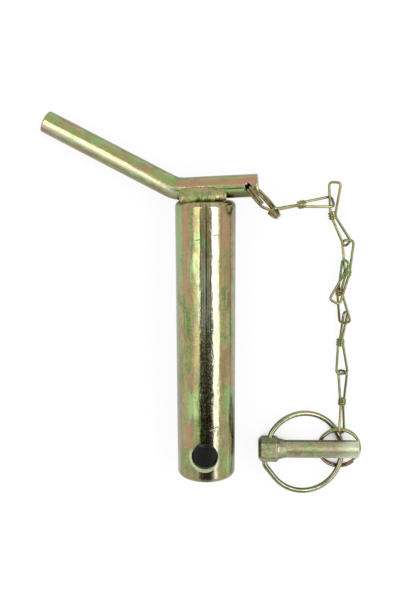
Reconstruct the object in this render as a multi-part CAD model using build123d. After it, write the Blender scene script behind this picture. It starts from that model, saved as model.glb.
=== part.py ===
from build123d import *
import math
import os

# Top link pin with a bent rod handle and a linch pin on a knotted wire chain. Millimetres.
# The pin lies along Y with its middle at the origin; its free end points to -Y and +Z is up
# from the surface that everything lies on.

# ---- Pin --------------------------------------------------------------------------------
PIN_D = 25.4                 # plain shank, fits a 25.4 top link ball
PIN_LENGTH = 121.0
PIN_TOP_ROUND = 2.4          # edge under the handle
PIN_TIP_ROUND = 2.0          # edge of the free end
CROSS_D = 11.5               # cross hole for the linch pin
CROSS_FROM_TIP = 12.0
CROSS_TWIST = 3.7            # the hole is drilled a little out of the handle's plane
CROSS_SINK = 1.05            # depth of the countersink at both mouths
# ---- Handle -----------------------------------------------------------------------------
ROD_D = 9.5
ROOT_GAP = 0.06              # between the rod and the pin's end at their nearest
GRIP_LENGTH = 62.4           # long leg, from the bend corner to its sawn end
GRIP_RISE = 27.1             # long leg against the pin's end face
STUB_LENGTH = 34.35          # short leg, from the bend corner
STUB_RISE = 2.9
BEND_X = -12.2               # bend corner beside the pin's axis
BEND_R = 14.0
ROD_END_ROUND = 0.9
STUB_END_ROUND = 0.6
RING_HOLE_D = 3.5
RING_HOLE_X = 18.0
RING_HOLE_LEAN = 6.0
# ---- Weld beads -------------------------------------------------------------------------
BEAD_R = 3.2
BEAD_STEP = 1.7
BEAD_START = -10.0
BEAD_COUNT = 11
BEAD_RISE = 2.0              # bead centres above the pin's end face
BEAD_OUT = 6.3               # bead centres to each side of the rod's axis
# ---- Split rings ------------------------------------------------------------------------
RING_WIRE = 1.2
RING_R = 9.3                 # centre line
RING_PITCH = 1.25            # between the two turns
RING_JOG = 30.0              # degrees over which one turn steps to the other
HANDLE_RING_JOG = 75.0       # where round each ring that step lies
LINCH_RING_JOG = -30.0
RING_SWING = -46.0           # heading of the handle's ring out of its hole
RING_HANG = 0.69             # wire centre off the hole's centre, toward the ring's middle
# ---- Chain links ------------------------------------------------------------------------
WIRE = 1.1
LOOP_REACH = 14.35           # knot centre to the loop's end bar
LOOP_HALF = 2.6              # half the end bar, between centre lines
LOOP_NECK = 1.0              # the same at the knot
LOOP_CORNER = 1.5
LOOP_ROOT = 0.5              # where the legs start inside the knot
KNOT_TURNS = 3
KNOT_R = 1.35                # centre line of the wrapped wire
KNOT_PITCH = 1.13
KNOT_CORE = 1.62             # legs and wrap grown together up to here
# ---- Linch pin and hoop -----------------------------------------------------------------
HEAD_LENGTH = 9.5
HEAD_WIDTH = 10.8
HEAD_HEIGHT = 10.6
HEAD_BEVEL = 2.0             # along the shank
HEAD_END_BEVEL = 1.4         # across it
HEAD_EDGE = 0.35
FLARE_D = 9.8
FLARE_LENGTH = 2.5
SHANK_D = 8.0
SHANK_LENGTH = 35.5
SHANK_CHAMFER = 0.5
HOOP_WIRE = 2.4
HOOP_R = 17.7                # centre line
HOOP_LEAD = 0.05             # the nearer arm's corner outside the hoop's circle
HOOP_SHIFT = 1.8             # middle of the hoop beside the middle of the head
HOOP_BEND = 3.0              # where each arm turns into the head
HOOP_STUB = 2.0              # half the gap between the wire's two ends inside the head
HOOP_SKEW = 13.0             # hinge hole against square across the head
HOOP_HOLE_X = -0.5
HOOP_FIT = 0.06              # radial play of the wire in its hole

# ---- How the loose pieces lie -------------------------------------------------------------
# Each loop is (heading, droop, roll) in degrees. A link's seat is where its first end bar lies
# from the end bar before it: onward, along that bar and off that loop's face.
FIRST_SEAT = (-44, 1.3, 1.5)     # round the handle's ring, inside its wire, beside its middle
LINKS = [
    (FIRST_SEAT, (9, 14, 77), (4, 13, -33)),
    ((0.7, 6.1, 5.8), (-92, 3, 16), (-61, 3, -39)),
    ((-1.6, 0.3, 1.0), (-90, -2, 22), (-117, -20, 0)),
    ((-17.8, -3.8, 3.9), (-98, 8, 67), (-78, 2, 29)),
    ((-4.6, 0.8, -1.5), (-98, 3, -56), (-86, -3, -1)),
    ((-1.3, 0.4, -0.2), (-90, -2, 50), (-90, -6, -53)),
]
LINCH_RING_SEAT = (0.8, 0.4)     # last end bar along the ring's wire, and off its middle
LINCH_RING_HOOK = 1.4            # last end bar inside the ring's wire
LINCH_RING_TILT = (8.5, -3.5)
HOOP_PAST_RING = 2.1             # hoop's far end beyond the ring's middle
HEAD_FROM_RING = (1.3, 4.1)      # head beside and above the ring's middle
LINCH_LIE = (0.6, -3.4, -11.0)   # heading, droop and roll of the linch pin
HOOP_DROP = 11.5                 # hoop below the shank's axis where it is sprung shut

pin_r = PIN_D / 2
rod_r = ROD_D / 2
tip_y = -PIN_LENGTH / 2
top_y = PIN_LENGTH / 2


def turned(heading, droop, roll):
    """Rotation from a heading on the floor, a droop of the nose and a roll about it."""
    return Rot(Z=heading) * Rot(Y=droop) * Rot(X=roll)


def at(frame, x, y, z):
    return (frame * Pos(x, y, z)).position


def wire_along(path, radius):
    """Round wire swept along a path."""
    start = Plane(origin=path @ 0, z_dir=path % 0)
    return sweep(start * Circle(radius), path=path)


# ---- Pin --------------------------------------------------------------------------------
def make_pin():
    bar = Rot(X=90) * Cylinder(pin_r, PIN_LENGTH)
    bar = fillet(bar.edges().sort_by(Axis.Y)[-1], PIN_TOP_ROUND)
    bar = fillet(bar.edges().filter_by(GeomType.CIRCLE).sort_by(Axis.Y)[0], PIN_TIP_ROUND)
    bar -= cross_frame * Cylinder(CROSS_D / 2, PIN_D * 1.5)
    for side in (0, 180):
        mouth = Pos(0, 0, pin_r - CROSS_SINK) * Cone(
            CROSS_D / 2, CROSS_D / 2 + 2 * CROSS_SINK, 2 * CROSS_SINK,
            align=(Align.CENTER, Align.CENTER, Align.MIN))
        bar -= cross_frame * Rot(X=side) * mouth
    return bar


cross_frame = Pos(0, tip_y + CROSS_FROM_TIP, 0) * Rot(Y=-CROSS_TWIST)


# ---- Handle -----------------------------------------------------------------------------
# The long leg comes down until its end lies on the floor beside the pin.
turn = GRIP_RISE + STUB_RISE
bend_tangent = BEND_R * math.tan(math.radians(turn / 2))
bend_y = (top_y + rod_r + ROOT_GAP
          - bend_tangent * math.sin(math.radians(STUB_RISE))
          + BEND_R * (1 - math.cos(math.radians(STUB_RISE))))
grip_x = BEND_X - GRIP_LENGTH * math.cos(math.radians(GRIP_RISE))
grip_y = bend_y + GRIP_LENGTH * math.sin(math.radians(GRIP_RISE))
stub_x = BEND_X + STUB_LENGTH * math.cos(math.radians(STUB_RISE))
handle_tilt = math.asin((pin_r - rod_r) / -grip_x)
handle_frame = Rot(Y=-math.degrees(handle_tilt))


def stub_line(x):
    """Height of the short leg's centre line above the pin's middle."""
    return bend_y + (x - BEND_X) * math.tan(math.radians(STUB_RISE))


ring_hole_frame = handle_frame * Pos(RING_HOLE_X, stub_line(RING_HOLE_X), 0) * Rot(X=RING_HOLE_LEAN)


def make_handle():
    path = FilletPolyline((grip_x, grip_y), (BEND_X, bend_y), (stub_x, stub_line(stub_x)), radius=BEND_R)
    rod = wire_along(path, rod_r)
    ends = rod.faces().filter_by(GeomType.PLANE).sort_by(Axis.X)
    rod = fillet(ends[0].edges(), ROD_END_ROUND)
    ends = rod.faces().filter_by(GeomType.PLANE).sort_by(Axis.X)
    rod = fillet(ends[-1].edges(), STUB_END_ROUND)
    rod = handle_frame * rod
    return rod - ring_hole_frame * Cylinder(RING_HOLE_D / 2, ROD_D * 2)


# ---- Welds ------------------------------------------------------------------------------
def make_weld(side, rod, bar):
    """Row of overlapping round beads in the corner between the rod and the pin's end face."""
    half = BEAD_STEP / 2
    waist = math.sqrt(BEAD_R ** 2 - half ** 2)
    end = (BEAD_COUNT - 1) * BEAD_STEP
    tops = [ThreePointArc((-BEAD_R, 0), (-BEAD_R * 0.8, BEAD_R * 0.6), (half, waist))]
    for i in range(1, BEAD_COUNT - 1):
        x = i * BEAD_STEP
        tops.append(ThreePointArc((x - half, waist), (x, BEAD_R), (x + half, waist)))
    tops.append(ThreePointArc((end - half, waist), (end + BEAD_R * 0.8, BEAD_R * 0.6), (end + BEAD_R, 0)))
    closing = Line((end + BEAD_R, 0), (-BEAD_R, 0))
    row = revolve(make_face(Wire(tops + [closing])), Axis.X)
    spot = handle_frame * Pos(BEAD_START, top_y + BEAD_RISE, side * BEAD_OUT)
    return spot * row - rod - bar


# ---- Split rings ------------------------------------------------------------------------
def make_split_ring(jog_at):
    """Two flat turns of wire; one steps up to the other over a short jog. Ring in XY."""
    half = RING_JOG / 2
    low = CenterArc((0, 0, -RING_PITCH / 2), RING_R, jog_at + half, 360 - RING_JOG)
    high = CenterArc((0, 0, RING_PITCH / 2), RING_R, jog_at + half, 360 - RING_JOG)
    middle = Rot(Z=jog_at) * Pos(RING_R, 0, 0)
    jog = Spline(low @ 1, middle.position, high @ 0, tangents=(low % 1, high % 0))
    ring = wire_along(low, RING_WIRE / 2)
    ring += wire_along(high, RING_WIRE / 2)
    ring += wire_along(jog, RING_WIRE / 2)
    return ring


ring_frame = (ring_hole_frame * Rot(Z=RING_SWING) * Pos(RING_R - RING_HANG, 0, 0) * Rot(X=90))


# ---- Chain links --------------------------------------------------------------------------
def make_loop():
    """One loop of a link, from inside the knot toward +X, flat in XY."""
    slope = (LOOP_HALF - LOOP_NECK) / LOOP_REACH
    root = LOOP_NECK + slope * LOOP_ROOT
    path = FilletPolyline(
        (LOOP_ROOT, root), (LOOP_REACH, LOOP_HALF), (LOOP_REACH, -LOOP_HALF), (LOOP_ROOT, -root),
        radius=LOOP_CORNER)
    return wire_along(path, WIRE / 2)


def make_knot():
    """Wire wrapped round the two pairs of legs, along Z."""
    rise = KNOT_PITCH * (KNOT_TURNS - 1)
    coil = Helix(KNOT_PITCH, rise, KNOT_R)
    wrap = Pos(0, 0, -rise / 2) * wire_along(coil, WIRE / 2)
    return wrap + Cylinder(KNOT_CORE, rise + WIRE * 0.8)


def make_link(start, first, second):
    knot_at = at(start * turned(*first), LOOP_REACH, 0, 0)
    first_frame = Pos(knot_at) * turned(*first)
    second_frame = Pos(knot_at) * turned(*second)
    along = at(turned(*first), 1, 0, 0) + at(turned(*second), 1, 0, 0)
    link = Plane(origin=knot_at, z_dir=along) * make_knot()
    link += first_frame * Rot(Z=180) * make_loop()
    link += second_frame * make_loop()
    return link, second_frame * Pos(LOOP_REACH, 0, 0)


def lay_chain():
    """All links in turn, each hung in the one before, and the last end bar's frame."""
    angle, inset, beside = FIRST_SEAT
    turn_at = math.radians(angle)
    reach = RING_R - inset
    start = at(ring_frame, reach * math.cos(turn_at), reach * math.sin(turn_at), beside)
    made = []
    for seat, first, second in LINKS:
        if made:
            start = at(end, *seat)
        link, end = make_link(Pos(start), first, second)
        made.append(link)
    return made, end


# ---- Linch pin and its hoop -----------------------------------------------------------------
def make_head():
    block = Box(HEAD_LENGTH, HEAD_WIDTH, HEAD_HEIGHT)
    block = chamfer(block.edges().filter_by(Axis.X), HEAD_BEVEL)
    rims = block.faces().filter_by(Axis.X).edges()
    block = chamfer(rims, HEAD_END_BEVEL)
    return fillet(block.edges(), HEAD_EDGE)


def make_linch_pin():
    body = make_head()
    face = HEAD_LENGTH / 2
    outline = Polyline(
        (0, 0), (face + SHANK_LENGTH, 0),
        (face + SHANK_LENGTH, SHANK_D / 2 - SHANK_CHAMFER), (face + SHANK_LENGTH - SHANK_CHAMFER, SHANK_D / 2),
        (face + FLARE_LENGTH, SHANK_D / 2), (face - HEAD_END_BEVEL / 2, FLARE_D / 2), (0, FLARE_D / 2),
        close=True)
    body += revolve(make_face(outline), Axis.X)
    bore = Rot(X=90) * Cylinder(HOOP_WIRE / 2 + HOOP_FIT, HEAD_WIDTH * 2)
    return body - hoop_hinge * bore


hoop_hinge = Pos(HOOP_HOLE_X, 0, 0) * Rot(Z=-HOOP_SKEW)


def hoop_corner(side):
    """Each arm turns about half a wire outside the head."""
    return side * (HEAD_WIDTH / 2 / math.cos(math.radians(HOOP_SKEW)) + HOOP_WIRE * 0.7)


# From the hinge line to the hoop's middle.
hoop_reach = math.sqrt((HOOP_R + HOOP_LEAD) ** 2 - (hoop_corner(1) - abs(HOOP_SHIFT)) ** 2)


def arm_touch(corner):
    """Where a line from the arm's corner on the hinge line touches the hoop's circle."""
    away = Vector(0 - hoop_reach, corner - HOOP_SHIFT)
    side = 1 if corner > 0 else -1
    lean = math.acos(HOOP_R / away.length) * side
    aim = math.atan2(away.Y, away.X) - lean
    return (hoop_reach + HOOP_R * math.cos(aim), HOOP_SHIFT + HOOP_R * math.sin(aim))


def make_hoop():
    """Hoop in XY with its hinge line on Y, both wire ends turned in toward the origin."""
    corners = (hoop_corner(1), hoop_corner(-1))
    touch = [arm_touch(c) for c in corners]
    arms = []
    for corner, point, side in zip(corners, touch, (1, -1)):
        arms.append(FilletPolyline((0, side * HOOP_STUB), (0, corner), point, radius=HOOP_BEND))
    far = (hoop_reach + HOOP_R, HOOP_SHIFT)
    bow = ThreePointArc(touch[0], far, touch[1])
    return wire_along(Wire(arms[0].edges() + bow.edges() + arms[1].edges()), HOOP_WIRE / 2)


# ---- The whole part -------------------------------------------------------------------------
pieces = {}
pieces["pin"] = make_pin()
pieces["handle"] = make_handle()
pieces["weld_front"] = make_weld(1, pieces["handle"], pieces["pin"])
pieces["weld_rear"] = make_weld(-1, pieces["handle"], pieces["pin"])
pieces["handle_ring"] = ring_frame * make_split_ring(HANDLE_RING_JOG)
links, last = lay_chain()
for number, link in enumerate(links, start=1):
    pieces[f"chain_link_{number}"] = link

tilt = Rot(Y=LINCH_RING_TILT[1]) * Rot(X=LINCH_RING_TILT[0])
hook = at(tilt, LINCH_RING_SEAT[0], RING_R - LINCH_RING_HOOK, LINCH_RING_SEAT[1])
linch_ring_at = last.position - hook
pieces["linch_ring"] = Pos(linch_ring_at) * tilt * make_split_ring(LINCH_RING_JOG)

head_at = linch_ring_at + Vector(HOOP_PAST_RING - hoop_reach - HOOP_R, *HEAD_FROM_RING)
head_frame = Pos(head_at) * turned(*LINCH_LIE)
hoop_frame = head_frame * hoop_hinge * Rot(Y=HOOP_DROP)
pieces["hoop"] = hoop_frame * make_hoop()
pieces["linch_pin"] = head_frame * make_linch_pin()

os.makedirs("parts", exist_ok=True)
for name, shape in pieces.items():
    shape.label = name
    export_step(shape, f"parts/{name}.step")
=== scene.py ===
import math

import bmesh
import bpy
from mathutils import Matrix, Vector


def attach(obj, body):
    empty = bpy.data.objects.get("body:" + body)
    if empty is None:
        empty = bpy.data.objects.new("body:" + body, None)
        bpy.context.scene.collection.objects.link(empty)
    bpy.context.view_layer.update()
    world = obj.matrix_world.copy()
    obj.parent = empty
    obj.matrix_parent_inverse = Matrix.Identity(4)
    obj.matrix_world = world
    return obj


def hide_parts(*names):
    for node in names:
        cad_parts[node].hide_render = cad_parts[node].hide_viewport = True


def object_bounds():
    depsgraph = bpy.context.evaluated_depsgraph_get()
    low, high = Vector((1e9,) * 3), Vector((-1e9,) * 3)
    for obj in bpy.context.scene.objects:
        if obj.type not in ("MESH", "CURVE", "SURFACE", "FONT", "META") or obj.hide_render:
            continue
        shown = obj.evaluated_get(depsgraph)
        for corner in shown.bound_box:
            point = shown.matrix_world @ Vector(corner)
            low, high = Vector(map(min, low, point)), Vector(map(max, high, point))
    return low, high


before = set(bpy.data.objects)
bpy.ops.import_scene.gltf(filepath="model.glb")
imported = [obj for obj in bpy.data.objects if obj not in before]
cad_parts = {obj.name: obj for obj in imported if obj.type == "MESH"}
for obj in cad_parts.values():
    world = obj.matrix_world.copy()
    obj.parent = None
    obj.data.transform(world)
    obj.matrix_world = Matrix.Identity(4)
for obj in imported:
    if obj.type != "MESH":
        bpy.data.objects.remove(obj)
cad_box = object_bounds()
MM = 0.001

# ---- Camera: above the pin's upper half, looking down and toward its free end -------------
CAMERA_AT = (-2.268, 82.418, 337.255)         # mm
CAMERA_TILT, CAMERA_ROLL = 10.846, -0.275     # degrees
SENSOR = 36                                   # height, mm
LENS_TO_SENSOR = 800 / 601


def set_camera():
    tilt, roll = math.radians(CAMERA_TILT), math.radians(CAMERA_ROLL)
    side = Vector((1, 0, 0))
    up_flat = Vector((0, math.cos(tilt), -math.sin(tilt)))
    back = Vector((0, math.sin(tilt), math.cos(tilt)))
    right = side * math.cos(roll) + up_flat * math.sin(roll)
    up = up_flat * math.cos(roll) - side * math.sin(roll)
    data = bpy.data.cameras.new("camera")
    data.sensor_fit = "VERTICAL"
    data.sensor_height = SENSOR
    data.lens = SENSOR * LENS_TO_SENSOR
    data.clip_start = 0.01
    data.clip_end = 20
    cam = bpy.data.objects.new("camera", data)
    bpy.context.scene.collection.objects.link(cam)
    turn = Matrix((right, up, back)).transposed().to_4x4()
    cam.matrix_world = Matrix.Translation(Vector(CAMERA_AT) * MM) @ turn
    bpy.context.scene.camera = cam
    bpy.context.scene.view_settings.view_transform = "Standard"


set_camera()


# ---- Node helpers ---------------------------------------------------------------------------
class Nodes:
    """Small builder for a node tree: each call adds a node and returns its first output."""

    def __init__(self, tree):
        self.tree = tree
        self.tree.nodes.clear()

    def add(self, kind, **settings):
        node = self.tree.nodes.new(kind)
        for key, value in settings.items():
            setattr(node, key, value)
        return node

    def put(self, node, name, value):
        socket = node.inputs[name]
        if isinstance(value, bpy.types.NodeSocket):
            self.tree.links.new(value, socket)
        else:
            socket.default_value = value

    def math(self, op, a, b=0.0, c=0.0):
        node = self.add("ShaderNodeMath", operation=op)
        for i, value in enumerate((a, b, c)):
            self.put(node, i, value)
        return node.outputs[0]

    def times(self, first, *others):
        for other in others:
            first = self.math("MULTIPLY", first, other)
        return first

    def plus(self, a, b):
        return self.math("ADD", a, b)

    def minus(self, a, b):
        return self.math("SUBTRACT", a, b)

    def larger(self, a, b):
        return self.math("MAXIMUM", a, b)

    def absolute(self, a):
        return self.math("ABSOLUTE", a)

    def above(self, value, limit):
        return self.math("GREATER_THAN", value, limit)

    def under(self, value, limit):
        return self.math("LESS_THAN", value, limit)

    def length(self, a, b):
        squares = self.plus(self.math("POWER", a, 2.0), self.math("POWER", b, 2.0))
        return self.math("POWER", squares, 0.5)

    def mix(self, factor, a, b, blend="MIX"):
        """Colour a turned toward b by factor. A plain colour may have three values."""
        node = self.add("ShaderNodeMix", data_type="RGBA", blend_type=blend)
        for socket, value in ((0, factor), (6, a), (7, b)):
            self.put(node, socket, (*value, 1) if isinstance(value, tuple) else value)
        return node.outputs[2]

    def mix_value(self, factor, a, b):
        return self.math("MULTIPLY_ADD", factor, self.minus(b, a), a)

    def noise(self, at, scale, detail=3.0, rough=0.55, warp=0.0):
        node = self.add("ShaderNodeTexNoise")
        self.put(node, "Vector", at)
        self.put(node, "Scale", scale)
        self.put(node, "Detail", detail)
        self.put(node, "Roughness", rough)
        self.put(node, "Distortion", warp)
        return node.outputs[0]

    def stretch(self, at, scale, offset=(0, 0, 0)):
        node = self.add("ShaderNodeMapping")
        self.put(node, "Vector", at)
        self.put(node, "Scale", scale)
        self.put(node, "Location", offset)
        return node.outputs[0]

    def drifted(self, value, at, scale, most, detail=3.0, rough=0.6):
        """value shifted by noise, by up to most / 2 mm either way."""
        drift = self.noise(at, scale, detail, rough)
        return self.math("MULTIPLY_ADD", drift, most * MM, self.minus(value, most / 2 * MM))

    def ramp(self, factor, stops):
        node = self.add("ShaderNodeValToRGB")
        marks = node.color_ramp.elements
        while len(marks) < len(stops):
            marks.new(0.5)
        for mark, (place, colour) in zip(marks, stops):
            mark.position = place
            mark.color = (*colour, 1.0)
        self.put(node, 0, factor)
        return node.outputs[0]

    def spread(self, value, low, high, to_low=0.0, to_high=1.0):
        node = self.add("ShaderNodeMapRange", clamp=True)
        for i, v in enumerate((value, low, high, to_low, to_high)):
            self.put(node, i, v)
        return node.outputs[0]

    def ends(self, value, low, high, to_low=0.0, to_high=1.0):
        """spread with low and high in mm."""
        return self.spread(value, low * MM, high * MM, to_low, to_high)

    def within(self, value, middle, half, soft):
        """1 within half mm of middle, falling to 0 over soft mm outside it."""
        off = self.absolute(self.minus(value, middle * MM))
        return self.spread(off, half * MM, half * MM + soft * MM, 1.0, 0.0)

    def split(self, where):
        node = self.add("ShaderNodeSeparateXYZ")
        self.put(node, 0, where)
        return node.outputs

    def surface(self, shader, kind="ShaderNodeOutputMaterial"):
        self.put(self.add(kind), "Surface", shader.outputs[0])


# ---- Plating ----------------------------------------------------------------------------------
BLACK, WHITE = (0.0, 0.0, 0.0), (1.0, 1.0, 1.0)
BARE_METAL = (0.42, 0.43, 0.32)
# Film colours of yellow passivated zinc, from thin to thick film.
FILM = [
    (0.18, (0.19, 0.25, 0.07)),
    (0.32, (0.26, 0.37, 0.11)),
    (0.42, (0.36, 0.37, 0.12)),
    (0.50, (0.42, 0.36, 0.15)),
    (0.58, (0.45, 0.27, 0.14)),
    (0.66, (0.34, 0.30, 0.10)),
    (0.78, (0.33, 0.47, 0.16)),
]
FLECK_SCALE, DRAG_SCALE = 1300, 620
WAVE_DEPTH, GRAIN_DEPTH = 0.0003, 0.00006     # metres
COAT = {"Coat Weight": 0.8, "Coat IOR": 1.5, "Coat Roughness": 0.08}


def plated(name, along=(1, 1, 1), patch=220, streak=0.5, rough=(0.10, 0.22), dark=0.0,
           grain=0.5, bump=0.25, wave=0.35, tint=(1, 1, 1), pale=0.0, drawn=0.0, extra=None):
    """Yellow passivated zinc. along squeezes the pattern so that it runs with the metal, patch
    is the pattern's scale, streak, grain, drawn, bump and wave are how strong its streaks,
    specks, draw marks, fine relief and broad unevenness are, and extra adds marks of its own."""
    material = bpy.data.materials.new(name)
    material.use_nodes = True
    n = Nodes(material.node_tree)
    where = n.add("ShaderNodeTexCoord").outputs["Object"]
    run = n.stretch(where, along)

    broad = n.noise(run, patch * 0.4, 2.0, 0.5)
    patches = n.noise(n.stretch(run, (1, 1, 1), (0.2, 0.5, 0.1)), patch, 4.0, 0.6, 0.4)
    fine = n.noise(n.stretch(run, (1, 2, 1), (0.3, 0.1, 0.2)), patch * 4.0, 4.0, 0.65)
    film = n.plus(n.math("MULTIPLY_ADD", patches, 1.15, n.times(broad, 1.10)),
                  n.math("MULTIPLY_ADD", fine, 0.6 * streak, -0.625 - 0.3 * streak))
    if drawn:
        drag = n.noise(n.stretch(where, (1.0, 0.03, 1.0)), DRAG_SCALE, 3.0, 0.6)
        film = n.math("MULTIPLY_ADD", n.minus(drag, 0.5), drawn, film)
    colour = n.mix(pale, n.ramp(film, FILM), BARE_METAL)

    worn = n.noise(n.stretch(where, (1, 1, 1), (0.7, 0.4, 0.9)), patch * 0.9, 5.0, 0.7)
    fleck = n.noise(where, FLECK_SCALE, 3.0, 0.65)
    shade = n.times(n.spread(worn, 0.32, 0.68, 0.64 - dark, 1.18 - dark),
                    n.spread(fleck, 0.38, 0.62, 1.0 - 0.20 * grain, 1.0 + 0.10 * grain))
    shade = n.ramp(shade, [(0.0, BLACK), (1.0, WHITE)])
    colour = n.mix(1.0, colour, shade, "MULTIPLY")
    colour = n.mix(1.0, colour, tint, "MULTIPLY")
    roughness = n.plus(n.spread(worn, 0.3, 0.7, rough[1], rough[0]),
                       n.spread(fleck, 0.45, 0.75, 0.0, 0.10 * grain))
    height = n.plus(n.noise(run, patch * 3, 4.0, 0.6), n.times(fleck, 0.35 * grain))
    if extra:
        colour, height, roughness = extra(n, where, colour, height, roughness)

    uneven = n.add("ShaderNodeBump")
    swell = n.noise(n.stretch(run, (1, 1, 1), (0.9, 0.3, 0.6)), patch * 1.5, 2.0, 0.5)
    for socket, value in (("Strength", wave), ("Distance", WAVE_DEPTH), ("Height", swell)):
        n.put(uneven, socket, value)
    relief = n.add("ShaderNodeBump")
    for socket, value in (("Strength", bump), ("Distance", GRAIN_DEPTH), ("Height", height),
                          ("Normal", uneven.outputs[0])):
        n.put(relief, socket, value)
    shader = n.add("ShaderNodeBsdfPrincipled")
    for socket, value in (("Base Color", colour), ("Metallic", 1.0), ("Roughness", roughness),
                          ("Normal", relief.outputs[0]), *COAT.items()):
        n.put(shader, socket, value)
    n.surface(shader)
    return material


def dress(node, material):
    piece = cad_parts[node]
    for slot in piece.material_slots:
        slot.material = material
    if not piece.material_slots:
        piece.data.materials.append(material)


# ---- Pin: drawn bar with long streaks, a dark smear above the cross hole and small marks ---
ROSE, RUST, DARK_RED = (0.48, 0.25, 0.15), (0.34, 0.17, 0.08), (0.15, 0.06, 0.03)
GREEN, PALE_GREEN, OLIVE_SHADE = (0.25, 0.42, 0.13), (0.42, 0.58, 0.24), (0.07, 0.09, 0.02)
PALE_GREY = (0.62, 0.65, 0.43)
LINE_BROWN, LINE_DARK = (0.10, 0.09, 0.03), (0.03, 0.035, 0.02)
# The first colour here is a painted highlight for the right reflection streak.
STREAK_HIGHLIGHT, SCUFF = (0.50, 0.50, 0.40), (0.56, 0.58, 0.46)
# The first colour here is painted shade for the pin's left flank.
LEFT_EDGE_SHADE, TIP_BROWN = (0.16, 0.15, 0.05), (0.24, 0.17, 0.10)
STAIN, OXIDE = (0.26, 0.22, 0.11), (0.045, 0.032, 0.015)
BURR_LIGHT, BURR_DARK = (0.60, 0.56, 0.32), (0.05, 0.05, 0.02)
# Painted shade for deep in the cross hole, and painted light for the lit side of its mouth.
BORE_SHADE, MOUTH_PAINTED_LIGHT = (0.012, 0.012, 0.010), (0.50, 0.62, 0.34)
# Where the film on top of the pin turns to one colour: middle and half size in x and in y, in mm,
# the colour and how far it turns. The row at x 12.2 mm is painted shade on the right flank, not
# film.
BANDS = (
    (-8.4, 0.9, 40, 19, ROSE, 0.80),
    (-11.4, 1.2, 44, 17, GREEN, 0.80),
    (-5.4, 1.4, 33, 6, PALE_GREEN, 0.70),
    (6.8, 1.5, 50, 9, ROSE, 0.60),
    (9.5, 0.6, 38, 22, RUST, 0.75),
    (9.2, 0.4, 18, 4, DARK_RED, 0.80),
    (-6.2, 1.8, -14, 3, ROSE, 0.65),
    (-6.0, 1.9, -26, 8, PALE_GREEN, 0.80),
    (-8.2, 1.6, -39, 4, ROSE, 0.70),
    (8.4, 2.2, -8, 6, RUST, 0.55),
    (8.8, 1.6, -22, 5, GREEN, 0.50),
    (8.2, 2.0, -52, 4, GREEN, 0.60),
    # painted shade on the right flank, toward the free end
    (12.2, 0.9, -36, 11, OLIVE_SHADE, 0.85),
    (-0.6, 2.2, 22, 16, PALE_GREY, 0.75),
)
# Dark draw lines on top: place in x and half width in mm, and how dark.
DRAW_LINES = ((-2.0, 0.16, 0.9), (-1.1, 0.08, 0.7), (0.2, 0.26, 0.95), (1.0, 0.08, 0.7),
              (1.9, 0.16, 0.9))
LINE_SOFT, LINE_BEND = 0.16, 0.8
# Small marks: middle in x and y, half length, half width and slope, all in mm but the slope.
SCRATCHES = ((-3.2, 45.0, 0.8, 0.13, 0.2), (4.2, 47.0, 1.0, 0.13, 0.1),
             (3.4, -35.7, 1.6, 0.16, 0.30))
SKIN_R = 11.4                     # marks lie outside this, so none is on the end faces
HOLE_Y, HOLE_LEAN = -48.5, 0.065  # the cross hole and its slope from upright
BORE_R, MOUTH_R = 6.0, 6.9
MOUTH_LOW, MOUTH_HIGH = 9.0, 10.5


def on_top(n, x, z):
    """1 on the upper side of the pin's round, 0 below and on its end faces."""
    radius = n.math("POWER", n.plus(n.times(x, x), n.times(z, z)), 0.5)
    return n.times(n.above(z, 0.0), n.above(radius, SKIN_R * MM))


def add_bands(n, x, y, top, colour):
    for at_x, half_x, at_y, half_y, film, most in BANDS:
        there = n.times(n.within(x, at_x, half_x * 0.6, half_x),
                        n.within(y, at_y, half_y * 0.7, half_y * 0.6))
        colour = n.mix(n.times(there, top, most), colour, film)
    return colour


def add_draw_lines(n, where, x, top, colour, height):
    """Long thin lines all round, and a few dark ones on top of the shank."""
    lines = n.noise(n.stretch(where, (1.0, 0.012, 1.0)), 1100, 3.0, 0.65)
    colour = n.mix(n.spread(lines, 0.54, 0.66, 0.0, 0.35), colour, LINE_BROWN)
    height = n.plus(height, n.times(lines, 0.9))
    bend = n.times(n.noise(n.stretch(where, (1.0, 0.25, 1.0)), 180, 2.0, 0.5), LINE_BEND * MM)
    broken = n.noise(n.stretch(where, (1.0, 0.12, 1.0)), 700, 3.0, 0.7)
    broken = n.spread(broken, 0.34, 0.50)
    for at_x, half, most in DRAW_LINES:
        line = n.within(n.minus(x, bend), at_x - LINE_BEND / 2, half, LINE_SOFT)
        line = n.times(n.times(line, top), n.times(broken, most))
        colour = n.mix(line, colour, LINE_DARK)
    return colour, height


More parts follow.
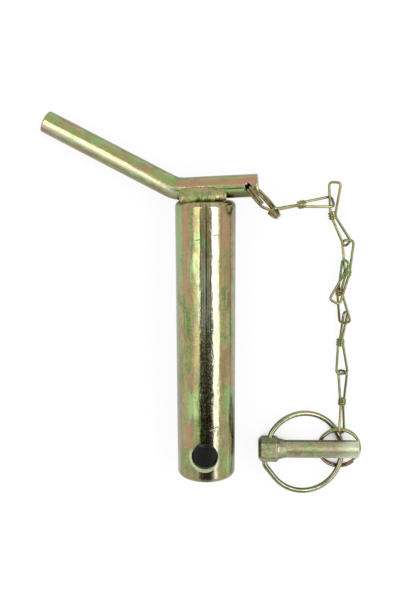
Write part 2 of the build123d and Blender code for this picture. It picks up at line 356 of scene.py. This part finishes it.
def add_stains(n, where, x, y, drift_x, top, colour, roughness):
    """Painted highlight along the right reflection streak, painted shade down the left flank,
    browner free end, brown stain, dark smear and bare specks.
    """
    # Painted highlight: a pale band laid under the right lamp's reflection streak.
    pale = n.times(n.within(drift_x, 3.6, 1.2, 1.0), top, 0.60)
    colour = n.mix(pale, colour, STREAK_HIGHLIGHT)
    # Painted shade down the pin's left flank, growing toward the free end.
    left_edge_shade = n.times(n.within(x, -12.5, 1.8, 1.5), top, n.ends(y, 10, -20, 0.0, 0.55))
    colour = n.mix(left_edge_shade, colour, LEFT_EDGE_SHADE)
    low = n.times(top, n.ends(y, -52, -60), 0.45)
    colour = n.mix(low, colour, TIP_BROWN)

    stain = n.noise(n.stretch(where, (1.0, 0.30, 1.0), (0.4, 0.7, 0.1)), 420, 4.0, 0.65)
    stain = n.times(n.spread(stain, 0.50, 0.58, 0.0, 0.75), top)
    stain = n.times(stain, n.larger(n.within(drift_x, 5.2, 0.9, 1.0),
                                    n.within(drift_x, -4.4, 1.4, 1.2)))
    colour = n.mix(stain, colour, STAIN)

    smear = n.times(n.within(x, -0.1, 1.4, 1.4), top, n.ends(y, -26, 10, 1.0, 0.0))
    speck = n.noise(n.stretch(where, (1.0, 0.35, 1.0)), 1600, 3.0, 0.7)
    smear = n.times(smear, n.spread(speck, 0.42, 0.58, 1.0, 0.30))
    colour = n.mix(n.times(smear, 0.85), colour, OXIDE)

    bare = n.times(n.within(x, 0.1, 2.2, 1.0), top, n.within(y, -8, 16, 18))
    speck = n.noise(n.stretch(where, (1.0, 0.5, 1.0)), 1900, 4.0, 0.75)
    bare = n.times(bare, n.spread(speck, 0.52, 0.72))
    colour = n.mix(n.times(bare, 0.70), colour, SCUFF)
    return colour, n.math("MULTIPLY_ADD", bare, 0.35, roughness)


def add_scratches(n, x, y, top, colour, height):
    """Each is a light burr with a dark line beside it."""
    for at_x, at_y, half, thin, slope in SCRATCHES:
        along = n.math("MULTIPLY_ADD", n.minus(x, at_x * MM), slope, at_y * MM)
        off = n.minus(y, along)
        span = n.times(n.within(x, at_x, half, 0.4), top)
        light = n.times(span, n.within(off, -thin * 1.3, thin, 0.15))
        shade = n.times(span, n.within(off, thin * 1.3, thin, 0.15))
        colour = n.mix(light, colour, BURR_LIGHT)
        colour = n.mix(shade, colour, BURR_DARK)
        height = n.plus(height, n.minus(n.times(light, 3.0), shade))
    return colour, height


def add_bore(n, x, y, z, colour, roughness):
    """The cross hole has painted shade deep inside, and painted light on the lower-left side of
    its mouth; both are rough.
    """
    from_axis = n.length(n.math("MULTIPLY_ADD", z, HOLE_LEAN, x), n.plus(y, -HOLE_Y * MM))
    bore = n.under(from_axis, BORE_R * MM)
    # Painted shade below the mouth of the bore.
    bore_shade = n.times(bore, n.ends(z, MOUTH_LOW, MOUTH_HIGH, 0.95, 0.0))
    colour = n.mix(bore_shade, colour, BORE_SHADE)
    # Painted light on the lower-left side of the mouth.
    toward = n.plus(n.times(x, -0.6), n.times(n.plus(y, -HOLE_Y * MM), -0.8))
    mouth = n.times(n.under(from_axis, MOUTH_R * MM),
                    n.times(n.ends(z, MOUTH_LOW, MOUTH_HIGH), n.ends(toward, 0.5, 3.5)))
    colour = n.mix(n.times(mouth, 0.8), colour, MOUTH_PAINTED_LIGHT)
    return colour, n.larger(roughness, n.times(n.larger(mouth, bore), 0.55))


def pin_wear(n, where, colour, height, roughness):
    x, y, z = n.split(where)
    top = on_top(n, x, z)
    drift_x = n.drifted(x, where, 260, 3.2)
    drift_y = n.drifted(y, n.stretch(where, (2.5, 1, 1)), 110, 22)
    colour = add_bands(n, drift_x, drift_y, top, colour)
    colour, height = add_draw_lines(n, where, x, top, colour, height)
    colour, roughness = add_stains(n, where, x, y, drift_x, top, colour, roughness)
    colour, height = add_scratches(n, x, y, top, colour, height)
    colour, roughness = add_bore(n, x, y, z, colour, roughness)
    return colour, height, roughness


dress("pin", plated("pin_zinc", along=(1.0, 0.42, 1.0), patch=210, streak=1.3, drawn=0.9,
                    rough=(0.08, 0.20), grain=1.2, bump=0.45, wave=0.5, extra=pin_wear))

# ---- Handle ---------------------------------------------------------------------------------
BEND = (-12.2, 65.1)                          # mm
LEG_RISE, STUB_RISE = math.radians(-27.1), math.radians(2.9)
# These three are painted light and shade: a highlight for the long leg, shade for the underside
# and shade for the rod's edges.
LEG_HIGHLIGHT, UNDERSIDE_SHADE, ROD_RIM_SHADE = (0.58, 0.60, 0.46), (0.10, 0.10, 0.025), (0.12, 0.13, 0.04)


def handle_wear(n, where, colour, height, roughness):
    """Green and rose upper flank and a painted highlight along the long leg, rose over the stub
    with a painted highlight along it, painted shade underneath and painted shade along both edges
    of the rod."""
    x, y, z = n.split(where)
    x, y = n.minus(x, BEND[0] * MM), n.minus(y, BEND[1] * MM)
    across = []
    for rise in (LEG_RISE, STUB_RISE):
        across.append(n.math("MULTIPLY_ADD", x, -math.sin(rise), n.times(y, math.cos(rise))))
    stub = n.ends(x, -1.5, 1.5)
    off = n.drifted(n.mix_value(stub, across[0], across[1]), where, 180, 2.4)

    upper = n.times(n.ends(off, 0.8, 1.8), n.spread(stub, 0.0, 1.0, 0.60, 0.0))
    blotch = n.noise(n.stretch(where, (1, 1, 1), (0.6, 0.2, 0.4)), 95, 3.0, 0.6)
    colour = n.mix(n.times(upper, n.spread(blotch, 0.46, 0.56, 1.0, 0.0)), colour, GREEN)
    colour = n.mix(n.times(upper, n.spread(blotch, 0.52, 0.60)), colour, ROSE)
    # Painted highlight along the long leg, where the lamp's reflection lies.
    leg_highlight = n.times(n.within(off, -1.2, 0.7, 0.9), n.spread(stub, 0.0, 1.0, 0.50, 0.0))
    colour = n.mix(leg_highlight, colour, LEG_HIGHLIGHT)

    rose = n.times(n.within(off, 2.4, 0.9, 0.8), n.times(stub, 0.7))
    colour = n.mix(rose, colour, ROSE)
    # Painted highlight along the stub.
    stub_highlight = n.times(n.within(off, -0.9, 0.6, 0.6), n.times(stub, 0.95))
    colour = n.mix(stub_highlight, colour, PALE_GREEN)
    # Painted shade on the underside of the rod, heavier on the stub.
    underside_shade = n.times(n.ends(off, -1.7, -3.0), n.spread(stub, 0.0, 1.0, 0.45, 0.80))
    colour = n.mix(underside_shade, colour, UNDERSIDE_SHADE)
    # Painted shade along both edges of the rod.
    rim_shade = n.times(n.ends(n.absolute(off), 3.9, 4.4), 0.55)
    return n.mix(rim_shade, colour, ROD_RIM_SHADE), height, roughness


dress("handle", plated("handle_zinc", along=(0.35, 0.8, 1.0), patch=200, streak=0.6,
                       rough=(0.12, 0.24), extra=handle_wear))


# ---- Weld beads -----------------------------------------------------------------------------
WELD_PIT = (0.34, 0.24, 0.12)


def weld_skin(n, where, colour, height, roughness):
    pits = n.noise(where, 900, 4.0, 0.7)
    colour = n.mix(n.spread(pits, 0.5, 0.75, 0.0, 0.55), colour, WELD_PIT)
    return colour, n.math("MULTIPLY_ADD", pits, 2.2, height), n.plus(roughness, 0.14)


weld = plated("weld_zinc", patch=300, streak=0.9, rough=(0.22, 0.38), grain=1.0, bump=0.6,
              extra=weld_skin)

HANDLE_TURN = 6.739                           # degrees, the handle's plane about the pin's axis
BEAD_FROM, BEAD_TO = -11.6, 8.4               # mm along the rod
BEAD_RINGS, BEAD_POINTS = 210, 40
BEAD_WIDE, BEAD_TALL, BEAD_SLANT = 3.75, 2.55, math.radians(46)
BEAD_LIFT, BEAD_CLIMB = 62.75, 0.05           # mm up the pin, and how it climbs along the rod
BEAD_OUT, BEAD_BULGE, BEAD_FADE = 3.6, 1.5, 13
RIPPLE_STEP = 1.25                            # mm from one ripple to the next


def bead_ring(t, seed):
    """What one ring of the bead has in common, t from 0 at one end to 1 at the other."""
    along = BEAD_FROM + (BEAD_TO - BEAD_FROM) * t
    full = math.sqrt(max(0.0, 1 - (2 * t - 1) ** 14))
    sway = math.sin(along * 0.9 + seed) + 0.6 * math.sin(along * 2.3 + 2 * seed)
    out = BEAD_OUT + BEAD_BULGE * (1 - (along / BEAD_FADE) ** 2) + 0.12 * sway
    lift = BEAD_LIFT + BEAD_CLIMB * (along - BEAD_FROM)
    lift += 0.10 * math.sin(along * 1.7 + 3 * seed)
    return along, full, sway, out, lift


def weld_bead(name, node, side, seed):
    """Rippled bead that fills the corner between the rod and the pin's end face."""
    turn = Matrix.Rotation(math.radians(HANDLE_TURN), 4, "Y")
    verts, faces = [], []
    for i in range(BEAD_RINGS + 1):
        along, full, sway, out, lift = bead_ring(i / BEAD_RINGS, seed)
        for k in range(BEAD_POINTS):
            angle = 2 * math.pi * k / BEAD_POINTS
            phase = along + 0.9 * math.cos(angle) + 0.15 * sway
            ripple = abs(math.sin(math.pi * phase / RIPPLE_STEP))
            swell = 1 + 0.035 * sway + 0.03 * math.sin(3 * angle + along * 1.3 + seed)
            reach = full * (swell + 0.05 * (ripple - 0.6))
            wide = BEAD_WIDE * reach * math.cos(angle)
            tall = BEAD_TALL * reach * math.sin(angle)
            up = wide * math.cos(BEAD_SLANT) + tall * math.sin(BEAD_SLANT)
            away = -wide * math.sin(BEAD_SLANT) + tall * math.cos(BEAD_SLANT)
            verts.append(turn @ Vector((along, lift + up, side * (out + away))) * MM)
    for i in range(BEAD_RINGS):
        for k in range(BEAD_POINTS):
            a, b = i * BEAD_POINTS + k, i * BEAD_POINTS + (k + 1) % BEAD_POINTS
            faces.append((a, b, b + BEAD_POINTS, a + BEAD_POINTS))
    mesh = bpy.data.meshes.new(name)
    mesh.from_pydata(verts, [], faces)
    made = bmesh.new()
    made.from_mesh(mesh)
    bmesh.ops.remove_doubles(made, verts=made.verts, dist=0.002 * MM)
    bmesh.ops.recalc_face_normals(made, faces=made.faces)
    made.to_mesh(mesh)
    made.free()
    for face in mesh.polygons:
        face.use_smooth = True
    mesh.materials.append(weld)
    bead = bpy.data.objects.new(name, mesh)
    bpy.context.scene.collection.objects.link(bead)
    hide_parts(node)
    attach(bead, "pin_body")


weld_bead("weld_front_bead", "weld_front", 1, 0.7)
weld_bead("weld_rear_bead", "weld_rear", -1, 2.1)

# ---- Links, rings and hoop --------------------------------------------------------------------
wire = plated("wire_zinc", patch=120, streak=0.4, rough=(0.12, 0.24), dark=0.22, grain=0.6,
              tint=(0.80, 0.88, 0.66), pale=0.15)
for i in range(1, 7):
    dress("chain_link_%d" % i, wire)
dress("handle_ring", plated("ring_zinc", patch=120, rough=(0.12, 0.24), dark=0.22, grain=0.6,
                            tint=(0.92, 0.85, 0.66)))

RING_BROWN = (0.26, 0.11, 0.055)


def ring_brown(n, where, colour, height, roughness):
    """The ring's lower part is browner."""
    x, y, z = n.split(where)
    low = n.math("MULTIPLY_ADD", n.noise(where, 300), 4 * MM, y)
    low = n.ends(low, -60.5, -56.5, 1.0, 0.0)
    return n.mix(n.times(low, 0.85), colour, RING_BROWN), height, roughness


dress("linch_ring", plated("linch_ring_zinc", patch=120, rough=(0.12, 0.24), dark=0.26,
                           grain=0.6, extra=ring_brown))
dress("hoop", plated("hoop_zinc", patch=200, streak=0.4, rough=(0.12, 0.22), dark=0.22,
                     pale=0.42))

# ---- Linch pin --------------------------------------------------------------------------------
LINCH_AT = Vector((28.33, -51.71, -5.76)) * MM          # middle of the head
LINCH_X, LINCH_Y = Vector((0.9982, 0.0105, 0.0593)), Vector((0.001, 0.9817, -0.1905))
HEAD_END, NECK_END = 4.9, 7.0                           # mm along the linch pin
FLAT_HALF = 3.3                                         # half width of the head's flat
LINCH_BRIGHT, LINCH_ROSE = (0.80, 0.86, 0.66), (0.52, 0.36, 0.28)
# The second colour here is painted shade for the neck's flare.
LINCH_GREEN, NECK_SHADE = (0.36, 0.56, 0.24), (0.20, 0.19, 0.12)
# Painted shade for the head's upper bevel, for the rim round its flat and for the shank's sides.
BEVEL_SHADE, FLAT_RIM_SHADE, SIDE_SHADE = (0.12, 0.14, 0.06), (0.07, 0.07, 0.03), (0.09, 0.09, 0.04)


def linch_shank(n, along, across, ragged, colour, roughness):
    """A lighter end, rosy patches, and painted shade and more roughness on the neck's flare."""
    end = n.ends(n.plus(along, ragged), 30, 37, 0.0, 0.62)
    colour = n.mix(end, colour, LINCH_BRIGHT)
    rosy = n.times(n.within(along, 26, 3, 4), n.within(across, -0.6, 1.2, 1.2))
    rosy = n.larger(rosy, n.within(along, 7.5, 1.5, 2))
    colour = n.mix(n.times(rosy, 0.5), colour, LINCH_ROSE)
    # Painted shade over the neck's flare, which is also made rougher.
    flare = n.within(along, 6.2, 1.4, 0.5)
    colour = n.mix(n.times(flare, 0.6), colour, NECK_SHADE)
    return colour, n.math("MULTIPLY_ADD", flare, 0.25, roughness)


def linch_edges(n, where, along, across, ragged, colour):
    """Painted shade on the head's upper bevel and round its flat, painted shade along the shank's
    sides, and green patches on the shank.
    """
    on_head = n.under(along, HEAD_END * MM)
    # Painted shade on the head's upper bevel.
    bevel_shade = n.times(on_head, n.ends(n.minus(across, ragged), 2.2, 3.2))
    colour = n.mix(n.times(bevel_shade, 0.45), colour, BEVEL_SHADE)
    # Painted shade along both sides of the shank.
    edge = n.ends(n.absolute(across), 3.45, 3.8, 0.0, 0.75)
    edge = n.times(edge, n.above(along, NECK_END * MM))
    colour = n.mix(edge, colour, SIDE_SHADE)
    mottle = n.noise(n.stretch(where, (0.8, 1.0, 1.0), (0.5, 0.1, 0.3)), 230, 3.0, 0.6)
    mottle = n.times(n.spread(mottle, 0.52, 0.60, 0.0, 0.45),
                     n.under(n.absolute(across), FLAT_HALF * MM))
    colour = n.mix(mottle, colour, LINCH_GREEN)
    # Painted shade round the edge of the head's flat.
    rim_shade = n.absolute(n.minus(n.absolute(across), FLAT_HALF * MM))
    rim_shade = n.times(on_head, n.ends(rim_shade, 0.15, 0.40, 0.6, 0.0))
    return n.mix(rim_shade, colour, FLAT_RIM_SHADE)


def linch_wear(n, where, colour, height, roughness):
    from_head = n.add("ShaderNodeVectorMath", operation="SUBTRACT")
    n.put(from_head, 0, where)
    n.put(from_head, 1, LINCH_AT)
    places = []
    for axis in (LINCH_X, LINCH_Y):
        dot = n.add("ShaderNodeVectorMath", operation="DOT_PRODUCT")
        n.put(dot, 0, from_head.outputs[0])
        n.put(dot, 1, axis)
        places.append(dot.outputs["Value"])
    along, across = places
    ragged = n.times(n.noise(where, 500, 3.0, 0.6), 0.8 * MM)
    colour, roughness = linch_shank(n, along, across, ragged, colour, roughness)
    colour = linch_edges(n, where, along, across, ragged, colour)
    return colour, height, roughness


dress("linch_pin", plated("linch_zinc", along=(0.6, 1.0, 1.0), patch=260, streak=1.0,
                          grain=1.6, rough=(0.28, 0.40), bump=0.5, pale=0.35,
                          extra=linch_wear))

# ---- Floor, world and lamps -----------------------------------------------------------------
FLOOR_HALF = 3.0                              # metres
FLOOR_PAINT = (0.92, 0.92, 0.92, 1)
GLOW = (1, 1, 1, 1)
NEAR_SKY, WIDE_SKY = 0.03, 0.10               # how far the floor looks for what shuts it in
NEAR_SHUT, NEAR_OPEN = 0.15, 0.30             # how open it is where its glow starts and is full
WIDE_SHUT, WIDE_OPEN, WIDE_LEAST = 0.35, 0.95, 0.1
SEEN_SHARE = 0.90
# Where the sky turns from dark to light, as slopes from straight up, and how light it gets.
TO_HANDLE, TO_FREE_END, TO_SIDES = (-0.30, -0.02), (-0.42, -0.60), (0.55, 1.1)
DARK, HANDLE_LIGHT, FREE_END_LIGHT, SIDE_LIGHT = 0.04, 0.88, 0.75, 0.93


def make_floor():
    low = cad_box[0][2]
    mesh = bpy.data.meshes.new("floor")
    mesh.from_pydata([(-FLOOR_HALF, -FLOOR_HALF, low), (FLOOR_HALF, -FLOOR_HALF, low),
                      (FLOOR_HALF, FLOOR_HALF, low), (-FLOOR_HALF, FLOOR_HALF, low)],
                     [], [(0, 1, 2, 3)])
    floor = bpy.data.objects.new("floor", mesh)
    bpy.context.scene.collection.objects.link(floor)
    material = bpy.data.materials.new("floor_white")
    material.use_nodes = True
    n = Nodes(material.node_tree)
    lit = n.add("ShaderNodeBsdfDiffuse")
    n.put(lit, "Color", FLOOR_PAINT)
    # White to the camera and to reflections, with a painted shadow where the object shuts the
    # floor in.
    open_sky = n.add("ShaderNodeAmbientOcclusion", samples=12)
    n.put(open_sky, "Distance", NEAR_SKY)
    glow = n.add("ShaderNodeEmission")
    n.put(glow, "Color", GLOW)
    path = n.add("ShaderNodeLightPath")
    wide_sky = n.add("ShaderNodeAmbientOcclusion", samples=12)
    n.put(wide_sky, "Distance", WIDE_SKY)
    strength = n.mix_value(path.outputs["Is Camera Ray"],
                           n.spread(wide_sky.outputs["AO"], WIDE_SHUT, WIDE_OPEN, WIDE_LEAST),
                           n.spread(open_sky.outputs["AO"], NEAR_SHUT, NEAR_OPEN))
    n.put(glow, "Strength", strength)
    seen = n.larger(path.outputs["Is Camera Ray"],
                    n.larger(path.outputs["Is Glossy Ray"],
                             path.outputs["Is Transmission Ray"]))
    mixed = n.add("ShaderNodeMixShader")
    n.put(mixed, 0, n.times(seen, SEEN_SHARE))
    n.put(mixed, 1, lit.outputs[0])
    n.put(mixed, 2, glow.outputs[0])
    n.surface(mixed)
    mesh.materials.append(material)


def make_world():
    """Pale room, with a dark patch overhead where the photographer leans in."""
    world = bpy.data.worlds.new("studio")
    bpy.context.scene.world = world
    world.use_nodes = True
    n = Nodes(world.node_tree)
    x, y, z = n.split(n.add("ShaderNodeTexCoord").outputs["Generated"])
    high = n.larger(z, 0.05)
    u = n.absolute(n.math("DIVIDE", x, high))
    v = n.math("DIVIDE", y, high)
    # v runs from the free end (negative) to the handle, u out to both sides
    before = n.larger(n.spread(v, *TO_HANDLE, DARK, HANDLE_LIGHT),
                      n.spread(v, *TO_FREE_END, DARK, FREE_END_LIGHT))
    light = n.larger(before, n.spread(u, *TO_SIDES, 0.0, SIDE_LIGHT))
    seen = n.add("ShaderNodeLightPath").outputs["Is Camera Ray"]
    back = n.add("ShaderNodeBackground")
    n.put(back, "Strength", n.math("MULTIPLY_ADD", seen, n.minus(1.0, light), light))
    n.put(back, "Color", GLOW)
    n.surface(back, "ShaderNodeOutputWorld")


LAMP_HEIGHT = 0.5                             # metres
DIM_FROM, DIM_TO = 0.04, 0.36                 # metres from a lamp's edge at the free end


def soft_box(name, low, high, turn, inner, outer, dimmer):
    """Lamp facing down over the rectangle low-high, turned by turn degrees, from inner to outer
    strength away from the middle, and down to dimmer times that toward the free end."""
    data = bpy.data.lights.new(name, "AREA")
    data.shape = "RECTANGLE"
    data.size, data.size_y = high[0] - low[0], high[1] - low[1]
    data.energy = math.pi * data.size * data.size_y
    data.use_nodes = True
    n = Nodes(data.node_tree)
    x, y, z = n.split(n.add("ShaderNodeNewGeometry").outputs["Position"])
    near, far = sorted((low[0], high[0]), key=abs)
    level = n.times(n.spread(x, near, far, inner, outer),
                    n.spread(y, low[1] + DIM_FROM, low[1] + DIM_TO, dimmer, 1.0))
    glow = n.add("ShaderNodeEmission")
    n.put(glow, "Strength", level)
    n.surface(glow, "ShaderNodeOutputLight")
    lamp = bpy.data.objects.new(name, data)
    lamp.location = ((low[0] + high[0]) / 2, (low[1] + high[1]) / 2, LAMP_HEIGHT)
    lamp.rotation_euler.z = math.radians(turn)
    lamp.visible_camera = False
    bpy.context.scene.collection.objects.link(lamp)


make_floor()
make_world()
soft_box("lamp_left", (-0.56, -0.36), (-0.21, 0.30), -15, 3.1, 1.0, 0.22)
soft_box("lamp_right", (0.245, -0.36), (0.58, 0.30), 18, 4.3, 2.4, 0.6)
